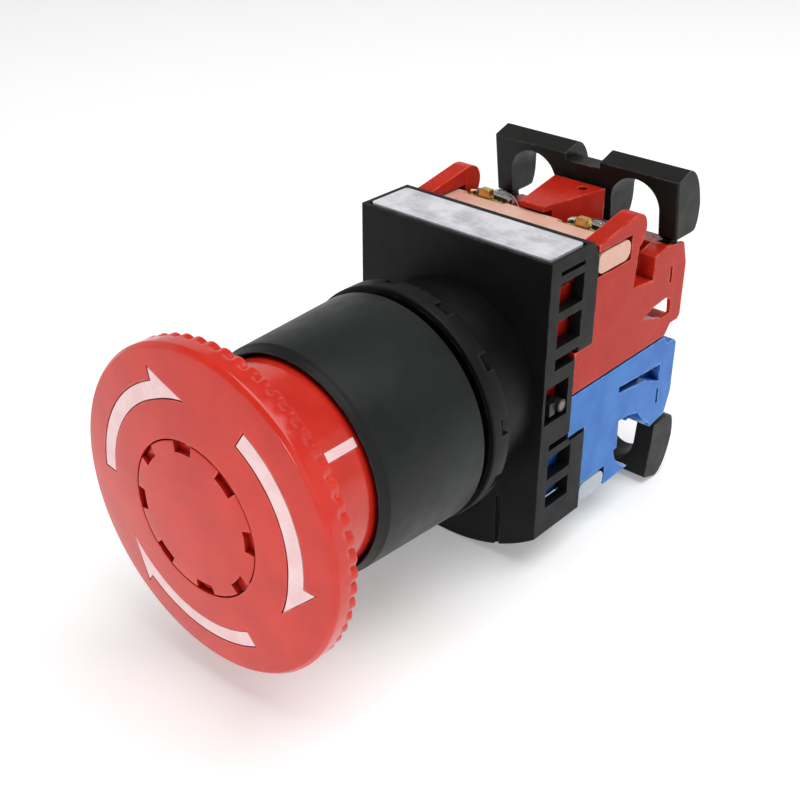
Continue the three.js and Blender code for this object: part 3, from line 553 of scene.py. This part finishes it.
MATERIALS = {
    "signal_red": signal_red(),
    "pale_ink": pale_ink(),
    "black_plastic": black_plastic(),
    "cover_plastic": cover_plastic(),
    "gasket_rubber": gasket_rubber(),
    "label_foil": label_foil(),
    "natural_plastic": natural_plastic(),
    "red_block": red_block(),
    "blue_block": blue_block(),
    "cream_plastic": cream_plastic(),
    "clear_plastic": clear_plastic(),
    "brass": brass(),
    "zinc_steel": zinc_steel(),
}

# Three black pieces differ a little from their slot's usual finish.
dull_black = housing_plastic()
OWN_MATERIAL = {
    "lock_lever": lever_plastic(),
    "adaptor_housing": dull_black,
    "ring_nut": dull_black,
}


# ---------------------------------------------------------------- mesh tools

SHARP = math.radians(38)  # edges sharper than this stay hard in the shading
JOIN = 0.001  # points closer than this are one point


def clean(bm, unit=1):
    """Joins points that coincide, and takes out the slivers between them."""
    bmesh.ops.remove_doubles(bm, verts=bm.verts, dist=JOIN * unit)
    bmesh.ops.dissolve_degenerate(bm, edges=bm.edges, dist=JOIN * unit)


def smooth(mesh):
    mesh.shade_smooth()
    mesh.set_sharp_from_angle(angle=SHARP)


def to_object(name, bm):
    """A new object from a bmesh in millimetres."""
    clean(bm)
    bmesh.ops.recalc_face_normals(bm, faces=bm.faces)
    mesh = bpy.data.meshes.new(name)
    bm.to_mesh(mesh)
    bm.free()
    mesh.transform(Matrix.Scale(MM, 4))
    smooth(mesh)
    made = bpy.data.objects.new(name, mesh)
    bpy.context.scene.collection.objects.link(made)
    return made


def carve(target, cutters):
    """Cuts the cutters out of the target, and removes them."""
    for cutter in cutters:
        step = target.modifiers.new("cut", "BOOLEAN")
        step.operation = "DIFFERENCE"
        step.solver = "EXACT"
        step.object = cutter
    graph = bpy.context.evaluated_depsgraph_get()
    mesh = bpy.data.meshes.new_from_object(target.evaluated_get(graph))
    target.modifiers.clear()
    for cutter in cutters:
        bpy.data.objects.remove(cutter)
    bm = bmesh.new()
    bm.from_mesh(mesh)
    clean(bm, MM)
    bm.to_mesh(mesh)
    bm.free()
    smooth(mesh)
    target.data = mesh
    return target


def dress(piece, node):
    """The piece is shown in place of a CAD node, in the node's material slot."""
    piece.data.materials.clear()
    piece.data.materials.append(OWN_MATERIAL.get(node, MATERIALS[SLOT_OF[node]]))
    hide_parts(node)


def stand_for(piece, node):
    """The piece is shown in place of a CAD node, and moves with the node's body."""
    dress(piece, node)
    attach(piece, BODY_OF[node])


def direction(angle):
    return Vector((math.cos(angle), math.sin(angle)))


def shares(steps):
    """Even steps from 0 to 1."""
    return [step / steps for step in range(steps + 1)]


def rounded(corners, steps=5):
    """A closed outline. A corner is (a, b), or (a, b, radius) to round it."""
    points = []
    for index, corner in enumerate(corners):
        here = Vector(corner[:2])
        if len(corner) == 2:
            points.append(here)
            continue
        before = (Vector(corners[index - 1][:2]) - here).normalized()
        after = (Vector(corners[(index + 1) % len(corners)][:2]) - here).normalized()
        half = before.angle(after) / 2
        centre = here + (before + after).normalized() * (corner[2] / math.sin(half))
        reach = corner[2] / math.tan(half)
        first = here + before * reach - centre
        last = here + after * reach - centre
        sweep = first.angle(last)
        for share in shares(steps):
            turned = first * math.sin((1 - share) * sweep) + last * math.sin(share * sweep)
            points.append(centre + turned / math.sin(sweep))
    return points


def revolve(name, outline, steps, warp=None):
    """A solid turned about the Y axis from a closed outline of (radius, y) points. warp(radius, y, angle)
    may change a point's radius."""
    bm = bmesh.new()
    rings = []
    for radius, y in outline:
        ring = []
        for step in range(steps):
            angle = TAU * step / steps
            reach = warp(radius, y, angle) if warp else radius
            ring.append(bm.verts.new((reach * math.cos(angle), y, reach * math.sin(angle))))
        rings.append(ring)
    for index, ring in enumerate(rings):
        following = rings[(index + 1) % len(rings)]
        for step in range(steps):
            ahead = (step + 1) % steps
            bm.faces.new((ring[step], ring[ahead], following[ahead], following[step]))
    return to_object(name, bm)


def slab(name, front, back):
    """A closed solid between two matching grids of points."""
    bm = bmesh.new()
    grids = [[[bm.verts.new(point) for point in row] for row in grid] for grid in (front, back)]
    rows, columns = len(front), len(front[0])
    for grid in grids:
        for i in range(rows - 1):
            for j in range(columns - 1):
                bm.faces.new((grid[i][j], grid[i][j + 1], grid[i + 1][j + 1], grid[i + 1][j]))
    edge = [(0, j) for j in range(columns)]
    edge += [(i, columns - 1) for i in range(1, rows)]
    edge += [(rows - 1, j) for j in range(columns - 2, -1, -1)]
    edge += [(i, 0) for i in range(rows - 2, 0, -1)]
    for (i, j), (k, m) in zip(edge, edge[1:] + edge[:1]):
        bm.faces.new((grids[0][i][j], grids[0][k][m], grids[1][k][m], grids[1][i][j]))
    return to_object(name, bm)


def block(name, low, high):
    """A plain box, for cutting."""
    def grid(y):
        return [[(x, y, z) for z in (low[2], high[2])] for x in (low[0], high[0])]
    return slab(name, grid(low[1]), grid(high[1]))


def turned(piece, degrees):
    """The piece, with its mesh turned about the button's axis, counted from +X towards +Z."""
    piece.data.transform(Matrix.Rotation(-math.radians(degrees), 4, "Y"))
    return piece


def smooth_step(value, low, high):
    share = min(max((value - low) / (high - low), 0), 1)
    return share * share * (3 - 2 * share)


# ---------------------------------------------------------------- CAD shapes with their edges rounded

FLAT = math.radians(0.6)  # faces that meet at less than this are joined into one
BEVEL_FROM = math.radians(32)  # edges blunter than this aren't rounded
BEVEL_ROOM = 2.3  # times the bevel's width: shorter edges, and their neighbours, aren't rounded
BEVEL_STEPS = 3
ROUND_PROFILE = 0.5


def eased(node, width):
    """Stands a copy of a CAD node's mesh in its place, with the sharp edges rounded by `width` mm."""
    bm = bmesh.new()
    bm.from_mesh(frame["nodes"][node].data)
    bmesh.ops.scale(bm, vec=Vector((1, 1, 1)) / MM, verts=bm.verts)
    clean(bm)
    bmesh.ops.dissolve_limit(bm, angle_limit=FLAT, verts=bm.verts, edges=bm.edges)
    room = BEVEL_ROOM * width

    def has_room(edge):
        if len(edge.link_faces) != 2 or edge.calc_face_angle(0) < BEVEL_FROM:
            return False
        beside = [loop.link_loop_next.edge for loop in edge.link_loops]
        beside += [loop.link_loop_prev.edge for loop in edge.link_loops]
        return all(side.calc_length() >= room for side in [edge, *beside])

    bmesh.ops.bevel(
        bm,
        geom=[edge for edge in bm.edges if has_room(edge)],
        offset=width,
        offset_type="OFFSET",
        segments=BEVEL_STEPS,
        profile=ROUND_PROFILE,
        affect="EDGES",
        clamp_overlap=True,
    )
    piece = to_object(f"{node}_eased", bm)
    even = piece.modifiers.new("flat faces stay flat", "WEIGHTED_NORMAL")
    even.keep_sharp = True
    stand_for(piece, node)


# ---------------------------------------------------------------- mushroom head

def face_y(radius):
    """Where the domed face is along the axis."""
    return HEAD_APEX + radius ** 2 / (2 * FACE_RADIUS)


def ribbed(radius, y, angle):
    """The rear of the rim is worked into rounded grip ribs."""
    on_rim = radius > RIM_INNER and y < RIM_END
    if not on_rim:
        return radius
    groove = 1 - abs(math.cos(RIB_COUNT * angle / 2))
    return radius - RIB_DEPTH * groove * smooth_step(y, RIB_FRONT, RIB_FRONT + RIB_FADE)


def arrow_solid(name, margin, top, floor):
    """A clockwise arrow grown by `margin`, from `top` to `floor` measured back from the face."""
    slack = margin / ARROW_OUTER
    tail = math.radians(ARROW_START) + slack
    neck = math.radians(ARROW_START - ARROW_SHAFT) + slack
    tip = math.radians(ARROW_START - ARROW_WHOLE) - ARROW_POINT_GROWTH * slack
    inner = ARROW_INNER - margin
    outer = ARROW_OUTER + margin
    barb = direction(neck) * (ARROW_BARB + ARROW_BARB_GROWTH * margin)
    point_reach = ARROW_POINT - margin
    point = direction(tip) * point_reach
    ends = []
    for share in shares(ARROW_ROWS):
        along = direction(tail + (neck - tail) * share)
        ends.append((along * inner, along * outer))
    for share in shares(ARROW_HEAD_ROWS):
        along = direction(neck + (tip - neck) * share)
        ends.append((along * (inner + (point_reach - inner) * share), barb.lerp(point, share)))
    rows = [[first.lerp(last, share) for share in shares(ARROW_COLUMNS)] for first, last in ends]

    def at(depth):
        return [[(p.x, face_y(p.length) + depth, p.y) for p in row] for row in rows]
    return slab(name, at(top), at(floor))


def mark_solid(name, margin, proud):
    """The bar of the position mark, which follows the skirt's curve."""
    half = (MARK_HALF + margin) / SKIRT_RADIUS
    angles = [half * (2 * share - 1) for share in shares(MARK_STEPS)]
    ends = (MARK_FRONT - margin, MARK_BACK + margin)

    def at(radius):
        return [[(radius * math.cos(a), y, radius * math.sin(a)) for y in ends] for a in angles]
    bar = slab(name, at(SKIRT_RADIUS - MARK_DEPTH - margin), at(SKIRT_RADIUS + proud))
    return turned(bar, MARK_ANGLE)


def head_outline():
    """The head's section, from the cap's recess over the dome, rim and skirt to the hub."""
    dome = [RECESS_RADIUS + (FACE_EDGE - RECESS_RADIUS) * share for share in shares(DOME_STEPS)[1:]]
    ribs = [RIB_FRONT + (RIB_END - RIB_FRONT) * share for share in shares(RIB_STEPS)]
    return rounded([
        (HUB_BORE, RECESS_FLOOR),
        (RECESS_RADIUS, RECESS_FLOOR),
        (RECESS_RADIUS, face_y(RECESS_RADIUS), RECESS_ROUND),
        *[(radius, face_y(radius)) for radius in dome],
        (SHOULDER_RADIUS, SHOULDER_Y, SHOULDER_ROUND),
        (HEAD_RADIUS, RIM_FRONT, RIM_FRONT_ROUND),
        *[(HEAD_RADIUS, y) for y in ribs],
        (HEAD_RADIUS, RIM_BACK, RIM_BACK_ROUND),
        (SKIRT_RADIUS, SKIRT_START, SKIRT_FILLET),
        (SKIRT_RADIUS, SKIRT_END, SKIRT_END_ROUND),
        (SKIRT_BORE, SKIRT_END, SKIRT_BORE_ROUND),
        (SKIRT_BORE, SKIRT_FLOOR),
        (HUB_RADIUS, HUB_START),
        (HUB_RADIUS, HUB_END),
        (HUB_BORE, HUB_END),
    ], steps=6)


def build_head():
    head = revolve("head_moulding", head_outline(), RIB_COUNT * STEPS_PER_RIB, ribbed)
    pockets = [
        turned(arrow_solid("pocket", POCKET_GAP, -OVERCUT, POCKET_FLOOR), turn)
        for turn in ARROW_TURNS
    ]
    pockets.append(mark_solid("pocket", MARK_GAP, MARK_POCKET_PROUD))
    stand_for(carve(head, pockets), "mushroom_head")
    for count, turn in enumerate(ARROW_TURNS, 1):
        inlay = arrow_solid(f"arrow_inlay_{count}", 0, ARROW_TOP, ARROW_FLOOR)
        stand_for(turned(inlay, turn), f"direction_arrow_{count}")
    stand_for(mark_solid("mark_inlay", 0, MARK_PROUD), "position_mark")


def build_cap():
    cap = revolve("cap_moulding", rounded([
        *[(radius, face_y(radius)) for radius in CAP_RINGS],
        (CAP_RADIUS, face_y(CAP_RADIUS), CAP_ROUND),
        (CAP_RADIUS, CAP_BACK),
        (CAP_STEM_RADIUS, CAP_BACK),
        (CAP_STEM_RADIUS, CAP_STEM_END),
        (0, CAP_STEM_END),
    ]), CAP_AROUND)
    half = math.radians(CAP_NOTCH_HALF)
    angles = [half * (2 * share - 1) for share in shares(CAP_NOTCH_STEPS)]
    reaches = (CAP_NOTCH_INNER, CAP_RADIUS + OVERCUT)

    def wedge(y):
        return [[(r * math.cos(a), y, r * math.sin(a)) for r in reaches] for a in angles]
    notches = [
        turned(slab("notch", wedge(HEAD_APEX - OVERCUT), wedge(CAP_NOTCH_FLOOR)), CAP_NOTCH_START + turn)
        for turn in (360 * count / CAP_NOTCHES for count in range(CAP_NOTCHES))
    ]
    stand_for(carve(cap, notches), "centre_cap")


# ---------------------------------------------------------------- operator body, gasket and ring nut

def threaded(radius, y, angle):
    """A V-shaped thread on the barrel, which runs out at both ends."""
    on_barrel = abs(radius - BARREL_RADIUS) < BARREL_SKIN and THREAD_FROM < y < THREAD_TO
    if not on_barrel:
        return radius
    turn = (y / THREAD_PITCH - angle / TAU) % 1
    groove = 1 - abs(2 * turn - 1)
    runs_in = smooth_step(y, THREAD_FROM, THREAD_FROM + THREAD_FADE)
    runs_out = smooth_step(-y, -THREAD_TO, THREAD_FADE - THREAD_TO)
    return radius - THREAD_DEPTH * groove * runs_in * runs_out


def build_operator():
    collar = rounded([
        *[(COLLAR_BORE + out, COLLAR_FRONT + back, radius) for out, back, radius in COLLAR_LIP],
        (COLLAR_RADIUS, COLLAR_BACK, COLLAR_BACK_ROUND),
        (SEAT_RADIUS, COLLAR_BACK),
        (SEAT_RADIUS, SEAT_FLOOR),
        (BARREL_RADIUS, SEAT_FLOOR),
    ], steps=4)
    rise = THREAD_PITCH / THREAD_STEPS
    count = int((THREAD_TO - THREAD_FROM) / rise)
    barrel = [Vector((BARREL_RADIUS, THREAD_FROM + rise * step)) for step in range(count + 1)]
    inside = rounded([
        (BARREL_RADIUS, BARREL_END - BARREL_TAPER_LENGTH),
        (BARREL_RADIUS - BARREL_TAPER, BARREL_END, BARREL_END_ROUND),
        (BARREL_BORE, BARREL_END),
        (BARREL_BORE, BARREL_FLOOR),
        (ROD_BORE, BARREL_FLOOR),
        (ROD_BORE, COLLAR_FLOOR),
        (COLLAR_BORE, COLLAR_FLOOR),
    ], steps=3)
    body = revolve("operator_moulding", collar + barrel + inside, OPERATOR_AROUND, threaded)
    stand_for(body, "operator_body")


def build_gasket():
    gasket = revolve("gasket_ring", rounded([
        (GASKET_BORE, GASKET_FRONT, GASKET_FRONT_ROUND),
        (GASKET_RADIUS, GASKET_FRONT, GASKET_FRONT_ROUND),
        (GASKET_RADIUS, GASKET_BACK, GASKET_BACK_ROUND),
        (GASKET_BORE, GASKET_BACK, GASKET_BACK_ROUND),
    ]), GASKET_AROUND)
    stand_for(gasket, "panel_gasket")


def build_nut():
    nut = revolve("nut_ring", rounded([
        (NUT_DISH_RADIUS, NUT_FRONT),
        (NUT_RADIUS, NUT_FRONT, NUT_FRONT_ROUND),
        (NUT_RADIUS, NUT_BACK, NUT_BACK_ROUND),
        (NUT_BORE, NUT_BACK, NUT_BORE_ROUND),
        (NUT_BORE, NUT_DISH_FLOOR),
        (NUT_DISH_RADIUS, NUT_DISH_FLOOR),
    ]), NUT_AROUND)
    low = (NUT_RADIUS - NUT_NOTCH_DEPTH, NUT_BACK - NUT_NOTCH_LENGTH, -NUT_NOTCH_HALF)
    high = (NUT_RADIUS + OVERCUT, NUT_BACK + OVERCUT, NUT_NOTCH_HALF)
    notches = [
        turned(block("notch", low, high), NUT_NOTCH_START + 360 * count / NUT_NOTCHES)
        for count in range(NUT_NOTCHES)
    ]
    stand_for(carve(nut, notches), "ring_nut")


# ---------------------------------------------------------------- screws and springs

def build_screw(kind, label, slant):
    """A pan head with a cross recess, turned by `slant` degrees, on a plain shank."""
    node = f"{kind}_terminal_screw_{label}"
    low, high = box_mm(node)
    radius = (high.x - low.x) / 2
    seat = box_mm(f"{kind}_saddle_washer_{label}")[1].y + SCREW_GAP
    screw = revolve(f"{kind}_screw_{label}", rounded([
        (0, low.y),
        (SHANK_RADIUS - SHANK_BEVEL, low.y),
        (SHANK_RADIUS, low.y + SHANK_BEVEL),
        (SHANK_RADIUS, seat),
        (radius, seat, SCREW_SEAT_ROUND),
        (radius, seat + SCREW_SIDE, SCREW_CROWN_ROUND),
        (0, seat + SCREW_HEIGHT),
    ]), SCREW_AROUND)
    slots = [
        block(
            "slot",
            (-length / 2, seat + SLOT_FLOOR, -width / 2),
            (length / 2, seat + SCREW_HEIGHT + OVERCUT, width / 2),
        )
        for length, width in ((SLOT_LENGTH, SLOT_WIDTH), (SLOT_WIDTH, SLOT_LENGTH))
    ]
    carve(screw, [turned(slot, slant) for slot in slots])
    middle = (low + high) / 2
    screw.data.transform(Matrix.Translation(Vector((middle.x, 0, middle.z)) * MM))
    stand_for(screw, node)


def coil(name, radius, wire, start, end, turns, height=0):
    """A helical wire about a line along Y, `height` above the axis, with its end turns closed up."""
    bm = bmesh.new()
    rings = []
    flat = 1 / turns  # share of the wire in each end turn
    closed = END_TURN_RISE * wire
    free = end - start - wire - 2 * closed
    for share in shares(turns * COIL_PER_TURN):
        rise = min(max((share - flat) / (1 - 2 * flat), 0), 1)
        ends = min(share / flat, 1) + max(0, (share - 1 + flat) / flat)
        angle = TAU * turns * share
        out = Vector((math.cos(angle), 0, math.sin(angle)))
        centre = out * radius + Vector((0, start + wire / 2 + free * rise + closed * ends, height))
        rings.append([
            bm.verts.new(centre + (out * math.cos(a) + Vector((0, 1, 0)) * math.sin(a)) * wire / 2)
            for a in (TAU * k / WIRE_AROUND for k in range(WIRE_AROUND))
        ])
    for first, second in zip(rings, rings[1:]):
        for k in range(WIRE_AROUND):
            ahead = (k + 1) % WIRE_AROUND
            bm.faces.new((first[k], first[ahead], second[ahead], second[k]))
    bm.faces.new(rings[0])
    bm.faces.new(rings[-1])
    return to_object(name, bm)


# Name, node and shape of a spring. The shape is its radius, wire, start, end, turns and the height of its
# axis. A squeezed spring also has the body that squeezes it.
TWIST_SPRING = ("twist_coil", "twist_spring", (8, 0.7, -25.8, -21.5, 4))
SQUEEZED_SPRINGS = [
    ("return_coil", "return_spring", (4.9, 0.8, -18.6, -3.3, 7, 0), "stem"),
    ("nc_contact_coil", "nc_contact_spring", (2, 0.5, 31.4, 41.2, 5, 5), "nc_moving_contact"),
    ("no_contact_coil", "no_contact_spring", (2, 0.5, 24.7, 41.2, 7, -6.2), "no_moving_contact"),
]


def build_springs():
    """The twist spring turns with the head. The others stay in place on the base."""
    name, node, shape = TWIST_SPRING
    stand_for(coil(name, *shape), node)
    for name, node, shape, mover in SQUEEZED_SPRINGS:
        piece = coil(name, *shape)
        dress(piece, node)
        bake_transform(piece)


# ---------------------------------------------------------------- the whole object

KINDS = ("nc", "no")  # the normally closed contact block above, and the normally open one below
SCREW_SLANT = {"a": -5, "b": 45}  # degrees

# How far the edges of a CAD shape are rounded, in millimetres.
EDGE = {
    "adaptor_housing": 0.22,
    "label_plate": 0.1,
    "lock_lever": 0.15,
    "push_rod": 0.15,
    "latch_cross_pin": 0.15,
    "contact_pusher": 0.15,
    "retainer_clip": 0.08,
    "upper_terminal_cover": 0.45,
    "lower_terminal_cover": 0.45,
}
for kind in KINDS:
    EDGE.update({f"{kind}_{part}": 0.22 for part in ("block_casing", "terminal_base")})
    EDGE.update({f"{kind}_{part}": 0.12 for part in ("guide_plate", "plunger", "contact_bridge")})
    EDGE.update({f"{kind}_{part}_{label}": 0.12 for part in ("terminal", "saddle_washer") for label in "ab"})

build_head()
build_cap()
build_operator()
build_gasket()
build_nut()
for kind in KINDS:
    for label, slant in SCREW_SLANT.items():
        build_screw(kind, label, slant)
build_springs()
for node, width in EDGE.items():
    eased(node, width)


# ---------------------------------------------------------------- floor and light, in metres

FLOOR_GAP = 0.0001  # between the object and the floor
FLOOR_Z = cad_low.z - FLOOR_GAP
FLOOR_REACH = 1.3
FLOOR_CURVE = 0.5  # radius of the bend up into the wall
WALL_HEIGHT = 0.7
FLOOR_AROUND, FLOOR_BEND_STEPS = 96, 8
FLOOR_GLOW = 0.22
WORLD_LIGHT = 0.21
WHITE = (1, 1, 1, 1)

# Where each softbox is, its width and height, and its power in watts.
SOFTBOXES = {
    "top": ((0.12, 0.04, 0.52), (0.5, 0.5), 2.55),
    "front_right": ((0.4, -0.3, 0.25), (0.35, 0.35), 0.12),
    "front": ((0.12, -0.45, 0.16), (0.03, 0.09), 0.32),
}


def add_floor():
    """A round pale floor that curves up into a low wall."""
    steps = FLOOR_AROUND
    bend = [
        (FLOOR_REACH + FLOOR_CURVE * math.sin(a), FLOOR_CURVE * (1 - math.cos(a)))
        for a in (TAU / 4 * share for share in shares(FLOOR_BEND_STEPS))
    ]
    profile = [*bend, (FLOOR_REACH + FLOOR_CURVE, FLOOR_CURVE + WALL_HEIGHT)]
    points = [
        (*(direction(TAU * step / steps) * radius), FLOOR_Z + rise)
        for radius, rise in profile
        for step in range(steps)
    ]
    faces = [tuple(range(steps))]
    for ring in range(len(profile) - 1):
        for step in range(steps):
            ahead = (step + 1) % steps
            low, high = ring * steps, (ring + 1) * steps
            faces.append((high + step, high + ahead, low + ahead, low + step))
    mesh = bpy.data.meshes.new("floor")
    mesh.from_pydata(points, [], faces)
    mesh.shade_smooth()
    surface = Surface("pale_floor", Roughness=0.8, Emission_Color=WHITE, Emission_Strength=FLOOR_GLOW)
    surface.colour(surface.mix(surface.noise(60, detail=4), srgb(250, 250, 250), srgb(246, 246, 246)))
    mesh.materials.append(surface.material)
    floor = bpy.data.objects.new("floor", mesh)
    bpy.context.scene.collection.objects.link(floor)


def add_softbox(name, place, size, power):
    """A soft rectangular light that is aimed at the panel hole."""
    data = bpy.data.lights.new(name, "AREA")
    data.shape = "RECTANGLE"
    data.size, data.size_y = size
    data.energy = power
    light = bpy.data.objects.new(name, data)
    bpy.context.scene.collection.objects.link(light)
    light.location = place
    light.rotation_mode = "QUATERNION"
    light.rotation_quaternion = (-Vector(place)).to_track_quat("-Z", "Y")


def add_light():
    world = bpy.data.worlds.new("studio")
    world.use_nodes = True
    background = world.node_tree.nodes["Background"]
    background.inputs["Color"].default_value = WHITE
    background.inputs["Strength"].default_value = WORLD_LIGHT
    bpy.context.scene.world = world
    for name, (place, size, power) in SOFTBOXES.items():
        add_softbox(name, place, size, power)


add_floor()
add_light()
bpy.context.scene.view_settings.view_transform = "Standard"
bpy.context.scene.view_settings.look = "None"
